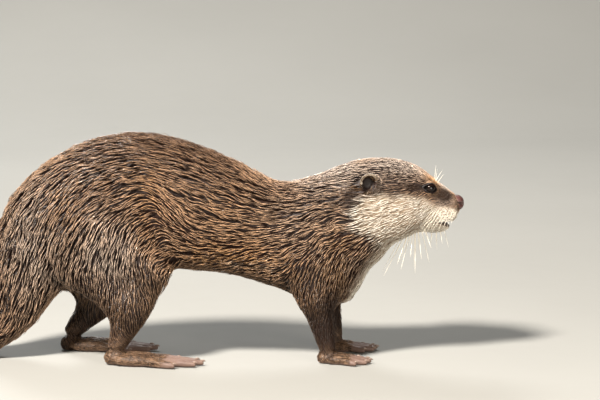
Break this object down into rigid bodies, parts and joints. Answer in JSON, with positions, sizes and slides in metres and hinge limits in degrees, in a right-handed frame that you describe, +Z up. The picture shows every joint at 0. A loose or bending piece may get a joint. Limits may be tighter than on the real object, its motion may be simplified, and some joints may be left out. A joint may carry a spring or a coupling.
{
  "type": "small-clawed otter, still life-size model",
  "caption": "Otter standing on all fours with its back arched, head held level and thick tail trailing on the floor behind it.",
  "frame": {"origin": "on the floor, under the middle of the box round the animal", "axes": "+X towards the nose, +Y towards the animal's left, +Z up"},
  "size_m": [0.6614, 0.1256, 0.2093],
  "materials": {
    "coat": "wet dark brown fur in thin glossy clumps, pale grey-brown at the tips",
    "pale_coat": "short cream fur",
    "foot_skin": "almost bare grey-pink skin, fine creases",
    "nose_skin": "damp dark pink-brown skin, pebbled",
    "eye": "polished, near black",
    "claw": "dull horn",
    "whisker": "stiff pale hair"
  },
  "bodies": {
    "root": {"head": "coat", "neck": "coat", "chest": "coat", "belly": "coat", "hindquarters": "coat", "tail_base": "coat", "tail_middle": "coat", "tail_end": "coat", "ear_right": "coat", "ear_left": "coat", "upper_arm_right": "coat", "upper_arm_left": "coat", "forearm_right": "coat", "forearm_left": "coat", "thigh_right": "coat", "thigh_left": "coat", "shank_right": "coat", "shank_left": "coat", "lower_jaw": "pale_coat", "nose": "nose_skin", "eye_right": "eye", "eye_left": "eye", "forefoot_right": "foot_skin", "forefoot_left": "foot_skin", "hind_foot_right": "foot_skin", "hind_foot_left": "foot_skin"}
  },
  "joints": []
}
